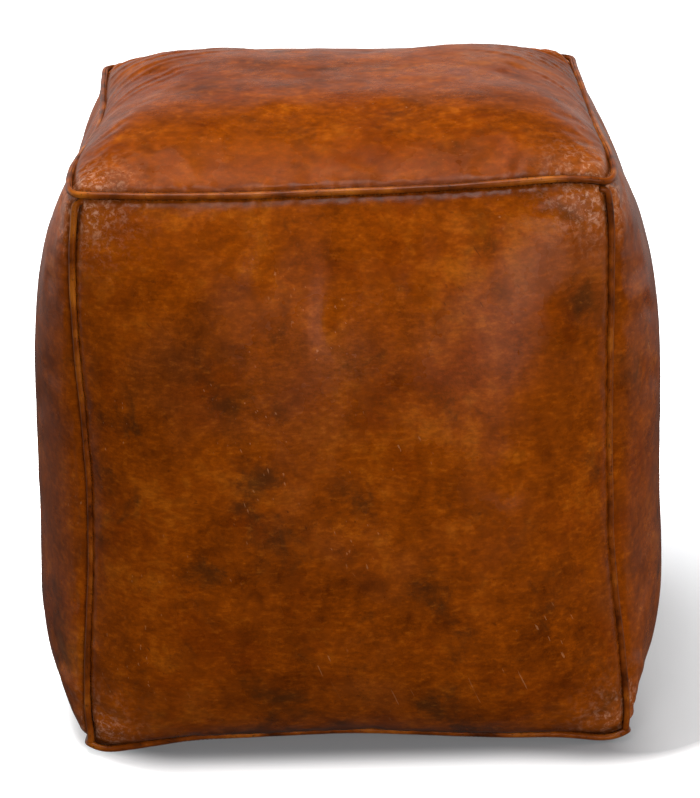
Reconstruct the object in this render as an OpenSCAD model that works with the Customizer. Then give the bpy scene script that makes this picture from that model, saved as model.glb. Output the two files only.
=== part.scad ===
// Moroccan leather cube pouf, stuffed through a zip in its base.
// Millimetres, +Z up. The origin is on the floor, under the middle of the pouf.
// The front faces -Y. The zip runs along X and closes towards +X.

/* [Cover] */
// Width of the top between its corner seams
top_w = 390; // [350:1:430]
// Width of the base between its corner seams
base_w = 410; // [370:1:450]
// Height of a corner seam
seam_h = 437; // [400:1:480]
// How far each side swells beyond its seams
side_swell = 53; // [30:1:60]
// How far the top domes above its seam
top_dome = 33; // [20:1:50]
// Height of the base corners above the floor
corner_lift = 4; // [3.5:0.5:6]
// How far the middle of a base seam stands above its corners
base_arch = 9; // [7:0.5:12]
// How far the middle of a top or base seam draws inwards
edge_bow = 3; // [0:0.5:8]
// How far the middle of a corner seam draws inwards
corner_bow = 6; // [0:0.5:10]
// Thickness of the leather
leather_t = 2; // [1.2:0.1:2.4]

/* [Piping] */
// Diameter of the leather piping
piping_d = 5; // [4:0.1:5.4]
// Thickness of the leather wrapped round the piping cord
wrap_t = 0.9; // [0.6:0.1:1.2]
// Diameter of the seam thread
thread_d = 0.7; // [0.4:0.1:0.8]

/* [Zip] */
// Length of the closed chain
zip_l = 300; // [200:10:310]
// Width of one tape
tape_w = 16; // [12:1:18]
// Thickness of a tape
tape_t = 0.6; // [0.4:0.1:0.8]
// Width of the chain
chain_w = 7; // [6:0.5:7.5]
// Thickness of the chain
chain_t = 2.3; // [1.8:0.1:2.6]
// Length of the pull tab from its pivot
pull_l = 30; // [20:1:36]

/* [Filling] */
// Gap between the cover and the inner bag
bag_gap = 4; // [3:0.5:6]
// Thickness of the inner bag's cotton
bag_t = 1; // [0.8:0.1:2]
// Length of the slit that the inner bag is filled through
bag_slit_l = 260; // [200:10:280]

/* [Hidden] */

// Colours
tan_leather = [0.55, 0.26, 0.06];
dark_leather = [0.36, 0.15, 0.05];
cotton = [0.86, 0.8, 0.68];
antique_brass = [0.55, 0.42, 0.2];
zip_brown = [0.2, 0.12, 0.08];

// Shape of the swelling: higher powers give flatter middles and steeper edges
side_power = 3.6;
rise_power = 3;
dome_power = 4.6;
sag = 0.8;       // below 1 puts the fullest part of a side under its middle
base_fill = 16;  // how far the filling pushes the base down before the floor stops it

top_seam_z = corner_lift + seam_h;
valley_z = corner_lift + base_arch;
panel_gap = piping_d / 2 + 0.4;
panel_steps = 12;
base_steps = 12;  // across the zip's opening

// Piping and thread
wrap_r = piping_d / 2;
bore_r = wrap_r - wrap_t;
slot_angle = 34;  // half the opening through which the wrap's edges are sewn in
wrap_steps = 7;   // flats round the wrap
cord_play = 0.15; // the cord clears the middle of each flat by this much
cord_r = bore_r * cos((180 - slot_angle) / wrap_steps) - cord_play;
bend_r = 3;       // radius of the piping round a corner of the pouf
seam_depth = 1.1; // from the back of the wrap to its thread
thread_in = wrap_r + seam_depth;
post_gap = 0.8;   // between the end of a corner's piping and the piping across it

// Zip: heights grow from the outside of the base to the inside
lip_y = chain_w / 2 + 3.5;
lip_shut = 0.4;              // half the gap between the halves of the base past the zip
mouth_near = zip_l / 2 + 6;  // where the opening for the zip starts to close
mouth_far = zip_l / 2 + 18;  // and where it is shut
tape_z = valley_z + leather_t + 0.1;
tape_over = 10;              // tape past each end of the chain
chain_z = tape_z - chain_t - 0.05;
chain_gap = 0.75;            // half the space down the middle of the chain
stop_drop = 0.3;             // how far the stops stand below the chain
stop_z = chain_z - stop_drop;
stop_h = tape_z - stop_z - 0.1;
top_stop = [3, 2.8];         // length and width
bottom_stop = [4, chain_w + 0.8];
stop_gap = 0.5;              // between the chain and its stops
slider_l = 13;
slider_w = 2 * lip_y - 2.4;
plate_t = 1.2;
slider_play = 0.3;
plate_z = chain_z - slider_play - plate_t;
inner_plate_z = tape_z + tape_t + slider_play;
bridge_h = 2.5;
bridge_w = 3.4;
bridge_l = 8.4;
bridge_t = 1;
pivot_z = plate_z - 0.75;
pivot_r = 0.45;
pull_w = 7.4;
pull_t = 1;
pull_eye = 9;
slider_x = zip_l / 2 - slider_l / 2 - 2;
pull_rest_z = 1.1;           // height of the pull's tip at rest
pull_tilt = asin((pivot_z - pull_rest_z) / pull_l);

// Inner bag
bag_slit_w = 1.5;
bag_lift = 8;                // room above the zip, full out to lift_near and gone by lift_far
lift_near = 18;
lift_far = 45;
fibre_gap = 1;               // between the bag and its filling

function lerp(a, b, t) = a + (b - a) * t;
function swell(s, p) = 1 - pow(abs(s), p);
function step01(a, b, x) = let (t = max(0, min(1, (x - a) / (b - a)))) t * t * (3 - 2 * t);
function turned(p, a) = [p[0] * cos(a) - p[1] * sin(a), p[0] * sin(a) + p[1] * cos(a), p[2]];

// Half the width of the cover at a share t of its seam height
function half_w(t) = lerp(base_w, top_w, t) / 2 - corner_bow * swell(2 * t - 1, 2);

// Front of the cover: u runs from left to right, t from the base seam to the top seam
function side_pt(u, t) = [
    half_w(t) * u,
    edge_bow * swell(u, 2) * pow(2 * t - 1, 2) - half_w(t)
        - side_swell * swell(u, side_power) * swell(2 * pow(max(t, 0), sag) - 1, rise_power),
    corner_lift + seam_h * t + base_arch * pow(1 - t, 2) * swell(u, 2)
];

// Top of the cover
function top_pt(u, v) = [
    (top_w / 2 - edge_bow * swell(v, 2)) * u,
    (top_w / 2 - edge_bow * swell(u, 2)) * v,
    top_seam_z + top_dome * swell(u, dome_power) * swell(v, dome_power)
];

// Front half of the base: v runs from the zip to the front seam
function lip(x) = lerp(lip_y, lip_shut, step01(mouth_near, mouth_far, abs(x)));
function base_pt(u, v) =
    let (x = (base_w / 2 - edge_bow * swell(v, 2)) * u,
         edge_y = base_w / 2 - edge_bow * swell(u, 2))
    [
        x,
        -lerp(lip(x), edge_y, v),
        valley_z - base_arch * u * u * v * v
            - base_fill * swell(u, 4) * swell(2 * v - 1, 3)
    ];

// Samples from a to b, closer together near both ends
function spread(a, b, n) = [for (i = [0 : n]) lerp(a, b, (1 - cos(180 * i / n)) / 2)];

// Outward normal of a surface from two short steps along it
function across(p, pu, pv) = let (c = cross(pu - p, pv - p)) c / norm(c);

// A panel is two grids of points, outer and inner, closed by a rim
function grid_faces(nu, nv) =
    let (m = nu * nv)
    concat(
        [for (i = [0 : nu - 2], j = [0 : nv - 2])
            let (a = i * nv + j, b = a + nv)
            each [[a, a + 1, b + 1], [a, b + 1, b],
                  [m + a, m + b + 1, m + a + 1], [m + a, m + b, m + b + 1]]],
        [for (i = [0 : nu - 2])
            let (a = i * nv, b = a + nv, c = a + nv - 1, d = c + nv)
            each [[m + a, a, b], [m + a, b, m + b], [m + c, d, c], [m + c, m + d, d]]],
        [for (j = [0 : nv - 2])
            let (a = j, b = (nu - 1) * nv + j)
            each [[m + a + 1, a + 1, a], [m + a + 1, a, m + a],
                  [m + b, b, b + 1], [m + b, b + 1, m + b + 1]]]
    );

module side_panel(turn) {
    e = 1e-3;
    us = spread(2 * panel_gap / top_w - 1, 1 - 2 * panel_gap / top_w, panel_steps);
    ts = spread(panel_gap / seam_h, 1 - panel_gap / seam_h, panel_steps);
    outer = [for (u = us, t = ts) side_pt(u, t)];
    inner = [for (u = us, t = ts)
        let (p = side_pt(u, t))
        p - leather_t * across(p, side_pt(u + e, t), side_pt(u, t + e))];
    rotate([0, 0, turn])
        polyhedron(concat(outer, inner), grid_faces(len(us), len(ts)), convexity = 4);
}

module base_half(turn) {
    e = 1e-3;
    edge = 1 - 2 * panel_gap / base_w;
    lip_w = base_w / 2 - edge_bow;
    near = mouth_near / lip_w;
    far = mouth_far / lip_w;
    us = concat(spread(-edge, -far, 2), spread(-near, near, base_steps), spread(far, edge, 2));
    vs = spread(0, edge, panel_steps);
    outer = [for (u = us, v = vs) base_pt(u, v)];
    inner = [for (u = us, v = vs)
        let (p = base_pt(u, v),
             q = p - leather_t * across(p, base_pt(u + e, v), base_pt(u, v + e)))
        [q[0], q[1], max(q[2], leather_t)]];
    rotate([0, 0, turn])
        difference() {
            polyhedron(concat(outer, inner), grid_faces(len(us), len(vs)), convexity = 4);
            translate([-base_w, -base_w, -2 * base_fill])
                cube([2 * base_w, 2 * base_w, 2 * base_fill]);
        }
}

// A swept solid through rings of points; the last ring meets the first when it is closed
function skin_faces(rings, n, closed) =
    [for (k = [0 : rings - (closed ? 1 : 2)], j = [0 : n - 1])
        let (a = k * n + j, b = k * n + (j + 1) % n,
             c = ((k + 1) % rings) * n + (j + 1) % n, d = ((k + 1) % rings) * n + j)
        each [[a, d, c], [a, c, b]]];

module skin(rings, closed = false) {
    n = len(rings[0]);
    last = (len(rings) - 1) * n;
    caps = closed ? [] : [[for (j = [0 : n - 1]) j], [for (j = [n - 1 : -1 : 0]) last + j]];
    polyhedron([for (r = rings) each r], concat(skin_faces(len(rings), n, closed), caps),
        convexity = 6);
}

// Open wrap: an outer arc and an inner arc, split where its edges are sewn in
module wrap_skin(rings, closed = false) {
    n = len(rings[0]);
    h = n / 2;
    last = (len(rings) - 1) * n;
    caps = closed ? [] : [for (i = [0 : h - 2]) each
        [[i, i + 1, n - 2 - i], [i, n - 2 - i, n - 1 - i],
         [last + i, last + n - 2 - i, last + i + 1],
         [last + i, last + n - 1 - i, last + n - 2 - i]]];
    polyhedron([for (r = rings) each r], concat(skin_faces(len(rings), n, closed), caps),
        convexity = 6);
}

// Profiles as [radius, angle from the outward direction]
wrap_profile = concat(
    [for (i = [0 : wrap_steps]) [wrap_r, lerp(slot_angle, 360 - slot_angle, i / wrap_steps)]],
    [for (i = [wrap_steps : -1 : 0]) [bore_r, lerp(slot_angle, 360 - slot_angle, i / wrap_steps)]]);
cord_profile = [for (i = [0 : 5]) [cord_r, 60 * i]];
thread_profile = [for (i = [0 : 3]) [thread_d / 2, 90 * i]];

// Seam round the top or the base as [point, plan angle of its outward direction]
function loop_seam(w, z, arch) =
    let (h = w / 2, c = 1 - bend_r / h)
    [for (side = [0 : 3]) each concat(
        [for (s = spread(-c, c, 8))
            [turned([s * h, edge_bow * swell(s, 2) - h, z + arch * swell(s, 2)], 90 * side),
             90 * side - 90]],
        [for (a = [30, 60])
            [turned([h - bend_r + bend_r * sin(a), bend_r - h - bend_r * cos(a), z], 90 * side),
             90 * side - 90 + a]]
    )];

// Rings of a profile along such a seam. slot is the angle at which the profile starts,
// and shift moves the centre inwards along the diagonal between the two panels.
function loop_rings(seam, profile, slot, shift = 0) =
    [for (s = seam)
        let (n = [cos(s[1]), sin(s[1]), 0], up = slot < 180 ? 1 : -1,
             c = s[0] - shift * (n + [0, 0, up]) / sqrt(2))
        [for (p = profile)
            c + p[0] * (cos(p[1] + slot) * n - sin(p[1] + slot) * [0, 0, 1])]];

// Rings of a profile up the front right corner seam
function corner_rings(profile, shift = 0) =
    let (low = (wrap_r + post_gap) / seam_h)
    [for (t = spread(low, 1 - low, 9))
        let (h = half_w(t) - shift / sqrt(2))
        [for (p = profile)
            [h + p[0] * cos(p[1] + 135), -h + p[0] * sin(p[1] + 135), corner_lift + seam_h * t]]];

top_slot = 135;
base_slot = 225;
top_seam = loop_seam(top_w, top_seam_z, 0);
base_seam = loop_seam(base_w, corner_lift, base_arch);

// The space inside the cover, d inside its outer face: square rings from the
// middle of the base, up the sides, to the middle of the top
inner_steps = 8;
function square_at(i) =
    let (s = 2 * (i % inner_steps) / inner_steps - 1) [s, floor(i / inner_steps) * 90];
function zip_room(y) = bag_lift * (1 - step01(lift_near, lift_far, abs(y)));
function base_floor(x, y) =
    let (h = base_w / 2, u = x / h, v = abs(y) / h)
    max(0, valley_z - base_arch * u * u * v * v
        - base_fill * swell(u, 4) * swell(2 * v - 1, 3)) + zip_room(y);
function dome(x, y) =
    top_seam_z + top_dome * swell(2 * x / top_w, dome_power) * swell(2 * y / top_w, dome_power);
function cap_ring(w, share, d, top) =
    let (h = (w / 2 - d) * share)
    [for (i = [0 : 4 * inner_steps - 1])
        let (s = square_at(i), p = turned([s[0] * h, -h, 0], s[1]))
        [p[0], p[1], top ? dome(p[0], p[1]) - d : base_floor(p[0], p[1]) + d]];
function wall_ring(t, d) =
    [for (i = [0 : 4 * inner_steps - 1])
        let (s = square_at(i), p = side_pt(s[0], t), k = 1 - d / half_w(t))
        turned([p[0] * k, p[1] + d, p[2]], s[1])];
cap_shares = [0.1, 0.22, 0.42, 0.64, 0.82, 0.94];
wall_ends = [0.045, 0.965];
module inside(d) {
    n = 4 * inner_steps;
    rings = concat(
        [for (s = cap_shares) cap_ring(base_w, s, d, false)],
        [for (t = spread(wall_ends[0], wall_ends[1], 10)) wall_ring(t, d)],
        [for (i = [len(cap_shares) - 1 : -1 : 0]) cap_ring(top_w, cap_shares[i], d, true)]);
    low = len(rings) * n;
    last = low - n;
    polyhedron(
        concat([for (r = rings) each r], [[0, 0, base_floor(0, 0) + d], [0, 0, dome(0, 0) - d]]),
        concat(skin_faces(len(rings), n, false),
            [for (j = [0 : n - 1]) each
                [[low, j, (j + 1) % n], [low + 1, last + (j + 1) % n, last + j]]]),
        convexity = 4);
}

// Leather panels
module top_panel() {
    e = 1e-3;
    edge = 1 - 2 * panel_gap / top_w;
    us = spread(-edge, edge, panel_steps);
    outer = [for (u = us, v = us) top_pt(u, v)];
    inner = [for (u = us, v = us)
        let (p = top_pt(u, v))
        p - leather_t * across(p, top_pt(u + e, v), top_pt(u, v + e))];
    color(tan_leather)
        polyhedron(concat(outer, inner), grid_faces(len(us), len(us)), convexity = 4);
}
module front_panel() { color(tan_leather) side_panel(0); }
module right_panel() { color(tan_leather) side_panel(90); }
module back_panel() { color(tan_leather) side_panel(180); }
module left_panel() { color(tan_leather) side_panel(270); }
module base_panel_front() { color(tan_leather) base_half(0); }
module base_panel_rear() { color(tan_leather) base_half(180); }

// Piping, with the cord inside it and the thread behind it
module top_piping() {
    color(dark_leather) wrap_skin(loop_rings(top_seam, wrap_profile, top_slot), true);
}
module base_piping() {
    color(dark_leather) wrap_skin(loop_rings(base_seam, wrap_profile, base_slot), true);
}
module corner_piping(turn) {
    color(dark_leather) rotate([0, 0, turn]) wrap_skin(corner_rings(wrap_profile));
}
module corner_piping_front_right() { corner_piping(0); }
module corner_piping_rear_right() { corner_piping(90); }
module corner_piping_rear_left() { corner_piping(180); }
module corner_piping_front_left() { corner_piping(270); }
module top_piping_cord() {
    color(cotton) skin(loop_rings(top_seam, cord_profile, top_slot), true);
}
module base_piping_cord() {
    color(cotton) skin(loop_rings(base_seam, cord_profile, base_slot), true);
}
module corner_cord(turn) { color(cotton) rotate([0, 0, turn]) skin(corner_rings(cord_profile)); }
module corner_cord_front_right() { corner_cord(0); }
module corner_cord_rear_right() { corner_cord(90); }
module corner_cord_rear_left() { corner_cord(180); }
module corner_cord_front_left() { corner_cord(270); }
module top_seam_thread() {
    color(dark_leather) skin(loop_rings(top_seam, thread_profile, top_slot, thread_in), true);
}
module base_seam_thread() {
    color(dark_leather) skin(loop_rings(base_seam, thread_profile, base_slot, thread_in), true);
}
module corner_seam_threads() {
    color(dark_leather)
        for (turn = [0 : 90 : 270])
            rotate([0, 0, turn]) skin(corner_rings(thread_profile, thread_in));
}

// Zip
module tape() {
    color(zip_brown)
        translate([-zip_l / 2 - tape_over, -tape_w - chain_gap, tape_z])
            cube([zip_l + 2 * tape_over, tape_w, tape_t]);
}
module coil() {
    color(zip_brown)
        translate([-zip_l / 2, -chain_w / 2, chain_z])
            cube([zip_l, chain_w / 2 - chain_gap, chain_t]);
}
module zip_tape_front() { tape(); }
module zip_tape_rear() { mirror([0, 1, 0]) tape(); }
module zip_coil_front() { coil(); }
module zip_coil_rear() { mirror([0, 1, 0]) coil(); }
module zip_top_stops() {
    color(antique_brass)
        for (s = [0, 1])
            mirror([0, s, 0])
                translate([zip_l / 2 + stop_gap, chain_gap, stop_z])
                    cube([top_stop[0], top_stop[1], stop_h]);
}
module zip_bottom_stop() {
    color(antique_brass)
        translate([-zip_l / 2 - stop_gap - bottom_stop[0], -bottom_stop[1] / 2, stop_z])
            cube([bottom_stop[0], bottom_stop[1], stop_h]);
}

// Two plates round the chain, a web between its halves and a bridge for the pull
module zip_slider() {
    rim = slider_w / 2 - chain_w / 2 - slider_play;
    color(antique_brass)
        translate([slider_x, 0, 0]) {
            for (z = [plate_z, inner_plate_z])
                translate([-slider_l / 2, -slider_w / 2, z]) cube([slider_l, slider_w, plate_t]);
            translate([-slider_l / 2, slider_play - chain_gap, plate_z])
                cube([slider_l, 2 * (chain_gap - slider_play), inner_plate_z - plate_z + 0.1]);
            for (s = [0, 1])
                mirror([0, s, 0])
                    translate([-slider_l / 2, slider_w / 2 - rim, plate_z])
                        cube([slider_l, rim, tape_z - slider_play - plate_z]);
            for (x = [-bridge_l / 2, bridge_l / 2 - bridge_t])
                translate([x, -bridge_w / 2, plate_z - bridge_h])
                    cube([bridge_t, bridge_w, bridge_h + 0.2]);
            translate([-bridge_l / 2, -bridge_w / 2, plate_z - bridge_h])
                cube([bridge_l, bridge_w, bridge_t]);
        }
}

// The tab hangs from its cross bar until its tip nears the floor
module zip_pull() {
    arm = (pull_w - bridge_w) / 2 - slider_play;
    color(antique_brass)
        translate([slider_x, 0, pivot_z])
            rotate([0, -pull_tilt, 0]) {
                rotate([90, 0, 0]) cylinder(r = pivot_r, h = pull_w, center = true, $fn = 24);
                for (s = [0, 1])
                    mirror([0, s, 0])
                        translate([-pull_eye, pull_w / 2 - arm, -pivot_r])
                            cube([pull_eye, arm, 2 * pivot_r]);
                translate([-pull_l + pull_w / 2, -pull_w / 2, -pull_t / 2])
                    cube([pull_l - pull_eye - pull_w / 2 + 1, pull_w, pull_t]);
                translate([-pull_l + pull_w / 2, 0, -pull_t / 2])
                    cylinder(d = pull_w, h = pull_t, $fn = 40);
            }
}

// The inner bag is filled through a slit in its base, over the zip
module inner_bag() {
    color(cotton)
        difference() {
            inside(leather_t + bag_gap);
            inside(leather_t + bag_gap + bag_t);
            translate([-bag_slit_l / 2, -bag_slit_w / 2, 0])
                cube([bag_slit_l, bag_slit_w, 2 * valley_z + 4 * leather_t]);
        }
}
module filling() { color("ivory") inside(leather_t + bag_gap + bag_t + fibre_gap); }

top_panel();
front_panel();
back_panel();
left_panel();
right_panel();
base_panel_front();
base_panel_rear();
top_piping();
base_piping();
corner_piping_front_left();
corner_piping_front_right();
corner_piping_rear_left();
corner_piping_rear_right();
top_piping_cord();
base_piping_cord();
corner_cord_front_left();
corner_cord_front_right();
corner_cord_rear_left();
corner_cord_rear_right();
top_seam_thread();
base_seam_thread();
corner_seam_threads();
zip_tape_front();
zip_tape_rear();
zip_coil_front();
zip_coil_rear();
zip_top_stops();
zip_bottom_stop();
zip_slider();
zip_pull();
inner_bag();
filling();
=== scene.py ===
"""Moroccan cube pouf in waxed leather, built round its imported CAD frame.

Metres, +Z up, front towards -Y, in the CAD's own frame.
"""

import math

import bmesh
import bpy
import numpy as np
from bpy.props import FloatProperty, FloatVectorProperty, IntProperty, PointerProperty
from mathutils import Matrix, Vector, noise


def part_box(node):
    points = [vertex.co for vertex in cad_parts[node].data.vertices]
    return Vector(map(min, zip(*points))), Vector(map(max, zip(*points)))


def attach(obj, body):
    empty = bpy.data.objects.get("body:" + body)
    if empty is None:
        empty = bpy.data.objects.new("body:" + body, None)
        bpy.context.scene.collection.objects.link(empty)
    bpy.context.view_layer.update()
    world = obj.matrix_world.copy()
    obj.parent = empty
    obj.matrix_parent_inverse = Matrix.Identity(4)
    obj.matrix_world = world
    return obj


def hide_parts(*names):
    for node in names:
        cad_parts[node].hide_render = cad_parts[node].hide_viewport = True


bl_info = {
    "name": "Moroccan Leather Pouf",
    "version": (1, 0, 0),
    "blender": (4, 5, 0),
    "location": "View3D > Sidebar > Pouf",
    "description": "Builds a stuffed leather cube pouf with piped seams and a zipped base",
    "category": "Add Mesh",
}

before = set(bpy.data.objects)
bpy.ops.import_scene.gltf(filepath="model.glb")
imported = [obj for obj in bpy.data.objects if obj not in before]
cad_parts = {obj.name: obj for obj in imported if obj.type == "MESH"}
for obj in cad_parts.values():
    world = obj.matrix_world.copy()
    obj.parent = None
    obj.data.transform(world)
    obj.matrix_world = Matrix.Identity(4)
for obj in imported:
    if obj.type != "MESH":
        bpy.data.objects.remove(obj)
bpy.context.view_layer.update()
MM = 0.001
THREAD_R = 0.35 * MM
SEAM_OUT = 199 * MM  # how far from the middle the side swell is measured from
CROWN = 5 * MM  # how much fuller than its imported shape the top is
BAG_SLIT = (124 * MM, 7.5 * MM)  # half the length and width of the bag's filling slit
PROUD = 0.9 * MM  # how far piping stands out of its seam
PIPING_WALL = 0.95 * MM  # leather round the cord

# Where the seams run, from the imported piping
TOP_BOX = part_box("top_piping")
BASE_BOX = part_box("base_piping")
SIDE_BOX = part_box("front_panel")
DOME_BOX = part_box("top_panel")
TAPE_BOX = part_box("zip_tape_front")
COIL_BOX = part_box("zip_coil_front")

SIDES = ("front", "right", "back", "left")
OUTWARD = np.array(((0, -1, 0), (1, 0, 0), (0, 1, 0), (-1, 0, 0)), float)
CORNERS = ("front_left", "front_right", "rear_right", "rear_left")
SAMPLES = 240  # points along one side of a seam loop
CORNER_REACH = 16 * MM  # how far from a corner the top seams start to round
BASE_REACH = 19 * MM  # and the base seams
FOOT_OUT = 6 * MM  # how far the front right foot stands out to the side

# How each seam wanders from its straight line as (share of its length, millimetres).
# Top and base seams run anticlockwise from the front left corner, corner seams upwards.
RISE = {
    "top_front": ((0, 0), (0.2, -3), (0.35, -4), (0.58, -3.5), (0.7, -1.5), (0.82, 1.5),
                  (0.93, 3.5), (1, 0.5)),
    "base_front": ((0, 0), (0.05, 0), (0.1, 3), (0.2, 8.5), (0.35, 9.5), (0.5, 10), (0.6, 8),
                   (0.78, 4.5), (0.9, 4), (0.96, -0.5), (1, 0)),
}
DRAW = {
    "top_right": ((0, 0), (0.08, -5), (0.2, -6), (0.35, -3.5), (0.7, -2), (0.87, 0), (1, 0)),
    "top_left": ((0, 0), (0.17, 1.5), (0.38, 6), (0.52, 4.5), (0.67, -1), (0.81, -5),
                 (0.91, -4.5), (1, 0)),
    "corner_front_left": ((0, 2), (0.06, -2), (0.16, -1.5), (0.25, 0.5), (0.34, 2.5), (0.48, 3),
                          (0.6, 0.5), (0.7, -3), (0.82, -5), (0.9, -4.5), (1, 0)),
    "corner_front_right": ((0, 0), (0.04, -2), (0.17, 0), (0.25, 2.5), (0.35, 4.5), (0.55, 3),
                           (0.75, -0.5), (0.92, -3), (1, 0)),
}


class PoufSizes(bpy.types.PropertyGroup):
    """Sizes of the stuffed cover, its piping and its stitches."""

    piping_d: FloatProperty(name="Piping diameter", description="Leather piping, wrapped",
                            default=5.2 * MM, unit="LENGTH", precision=4)
    leather_t: FloatProperty(name="Leather thickness", description="Thickness of the panels",
                             default=2 * MM, unit="LENGTH", precision=4)
    swell: FloatProperty(name="Side swell", description="How far a side stands out from its seams",
                         default=-SIDE_BOX[0].y - SEAM_OUT, unit="LENGTH", precision=4)
    dome: FloatProperty(name="Top dome", description="How far the top stands above its seam",
                        default=DOME_BOX[1].z - TOP_BOX[1].z + CROWN, unit="LENGTH",
                        precision=4)
    grid: IntProperty(name="Panel grid", description="Faces along each edge of a panel",
                      default=88, min=24, max=120)
    stitch: FloatProperty(name="Stitch length", description="Length of one seam stitch",
                          default=3.4 * MM, unit="LENGTH", precision=4)


def srgb(hex_colour):
    """sRGB hex to three numbers from 0 to 1."""
    return [int(hex_colour[i:i + 2], 16) / 255 for i in (1, 3, 5)]


class PoufColours(bpy.types.PropertyGroup):
    """Colours of the finishes as sRGB."""

    tan: FloatVectorProperty(name="Tan", description="Lightest tone of the leather",
                             default=srgb("#a8560c"), subtype="COLOR_GAMMA")
    cognac: FloatVectorProperty(name="Cognac", description="Middle tone of the leather",
                                default=srgb("#8f4002"), subtype="COLOR_GAMMA")
    chestnut: FloatVectorProperty(name="Chestnut", description="Darkest tone of the leather",
                                  default=srgb("#5c2400"), subtype="COLOR_GAMMA")
    umber: FloatVectorProperty(name="Umber", description="Stains where the dye pooled",
                               default=srgb("#33200f"), subtype="COLOR_GAMMA")
    piping: FloatVectorProperty(name="Piping", description="Middle tone of the piping",
                                default=srgb("#743404"), subtype="COLOR_GAMMA")
    thread: FloatVectorProperty(name="Thread", description="Lit side of the sewing thread",
                                default=srgb("#6b3a18"), subtype="COLOR_GAMMA")
    brass: FloatVectorProperty(name="Brass", description="Polished parts of the zip's metal",
                               default=srgb("#b08a45"), subtype="COLOR_GAMMA")


def sizes():
    return bpy.context.scene.pouf_sizes


def colours():
    return bpy.context.scene.pouf_colours


# ---------------------------------------------------------------- seams

def smooth_step(a, b, x):
    t = np.clip((x - a) / (b - a), 0, 1)
    return t * t * (3 - 2 * t)


def swell(s, power):
    return 1 - np.abs(s) ** power


def soften(values, reach, wrap=False):
    """Gaussian average along the first axis, reach samples wide."""
    k = np.arange(-3 * reach, 3 * reach + 1)
    w = np.exp(-0.5 * (k / reach) ** 2)
    w /= w.sum()
    pad = [(3 * reach, 3 * reach)] + [(0, 0)] * (values.ndim - 1)
    padded = np.pad(values, pad, mode="wrap" if wrap else "edge")
    return sum(w[i] * padded[i:i + len(values)] for i in range(len(k)))


def wander(table, name, s, seed, amount):
    """Offset in metres along a seam: its own table, or gentle waves where none is given."""
    if name in table:
        share, mm = np.array(table[name]).T
        fine = soften(np.interp(np.linspace(0, 1, 201), share, mm), 4)
        return np.interp(s, np.linspace(0, 1, 201), fine) * MM * smooth_step(0, 0.03, s) \
            * smooth_step(0, 0.03, 1 - s)
    phase = np.random.default_rng(seed).uniform(0, 6.28, 4)
    waves = sum(np.sin((3.1 + 3.7 * i) * s + phase[i]) / (1 + 0.7 * i) for i in range(4))
    return amount * MM * waves * smooth_step(0, 0.12, s) * smooth_step(0, 0.12, 1 - s)


def seam_loop(level):
    """Points round the top or the base seam, SAMPLES to a side, from the front left corner."""
    top = level == "top"
    box = TOP_BOX if top else BASE_BOX
    r = 2.5 * MM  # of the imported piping
    half = box[1].x - r
    z = box[1].z - r if top else box[0].z + r - 0.5 * MM
    arch = 0 if top else box[1].z - box[0].z - 2 * r
    s = np.arange(SAMPLES) / SAMPLES
    loop = []
    for k, side in enumerate(SIDES):
        name = f"{level}_{side}"
        out = OUTWARD[k]
        along = np.array((-out[1], out[0], 0))
        drawn = 2.5 * MM * 4 * s * (1 - s) + wander(DRAW, name, s, 11 + k + 4 * top, 1.8)
        rise = wander(RISE, name, s, 31 + k + 4 * top, 1.2)
        if name not in RISE:
            rise += arch * 4 * s * (1 - s)
        reach = CORNER_REACH if top else BASE_REACH
        near = 1 - np.clip(2 * half * np.minimum(s, 1 - s) / reach, 0, 1)
        rise += near ** 2 * (-1.0 if top else 6.0) * MM
        row = (along * ((2 * s[:, None] - 1) * half) + out * (half - drawn)[:, None]
               + np.array((0, 0, 1)) * (z + rise)[:, None])
        row[:, :2] -= np.sign(row[:, :2]) * (near ** 2 * (3.0 if top else 2.2) * MM)[:, None]
        loop.append(row)
    loop = np.concatenate(loop)
    if not top:
        off = np.linalg.norm(loop - loop[SAMPLES], axis=1)
        loop[:, 0] += FOOT_OUT * np.exp(-(off / (18 * MM)) ** 2)
    return soften(loop, 3, wrap=True)


def side_of(loop, k):
    return loop[np.arange(k * SAMPLES, (k + 1) * SAMPLES + 1) % len(loop)]


def corner_seam(k, base, top):
    """Points up a corner, from the base seam to the top seam."""
    low, high = base[k * SAMPLES], top[k * SAMPLES]
    t = np.linspace(0, 1, 2 * SAMPLES + 1)
    name = f"corner_{CORNERS[k]}"
    inwards = -(OUTWARD[k] + OUTWARD[(k + 3) % 4])
    bow = 2 * MM * 4 * t * (1 - t)
    drawn = wander(DRAW, name, t, 51 + k, 1.6)
    side = OUTWARD[3] if k in (0, 3) else OUTWARD[1]
    depth = wander({}, name, t, 71 + k, 1.2)
    return (low + (high - low) * t[:, None] + inwards * bow[:, None]
            - side * drawn[:, None]
            + np.array((0, 1 if k < 2 else -1, 0)) * depth[:, None])


def along(points, share):
    """A polyline sampled at shares of its own index."""
    at = np.linspace(0, 1, len(points))
    return np.stack([np.interp(share, at, points[:, i]) for i in range(3)], -1)


def coons(low, high, left, right, u, v):
    """A surface that meets four edges exactly."""
    B, T, L, R = along(low, u), along(high, u), along(left, v), along(right, v)
    U, V = u[:, None, None], v[None, :, None]
    return ((1 - V) * B[:, None] + V * T[:, None] + (1 - U) * L[None] + U * R[None]
            - (1 - U) * (1 - V) * B[0] - U * (1 - V) * B[-1]
            - (1 - U) * V * T[0] - U * V * T[-1])


def shares(n, crowd=0.62):
    """n + 1 shares from 0 to 1 that crowd towards both ends."""
    s = np.linspace(0, 1, n + 1)
    return s - crowd * np.sin(2 * math.pi * s) / (2 * math.pi)


# ---------------------------------------------------------------- mesh helpers

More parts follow.
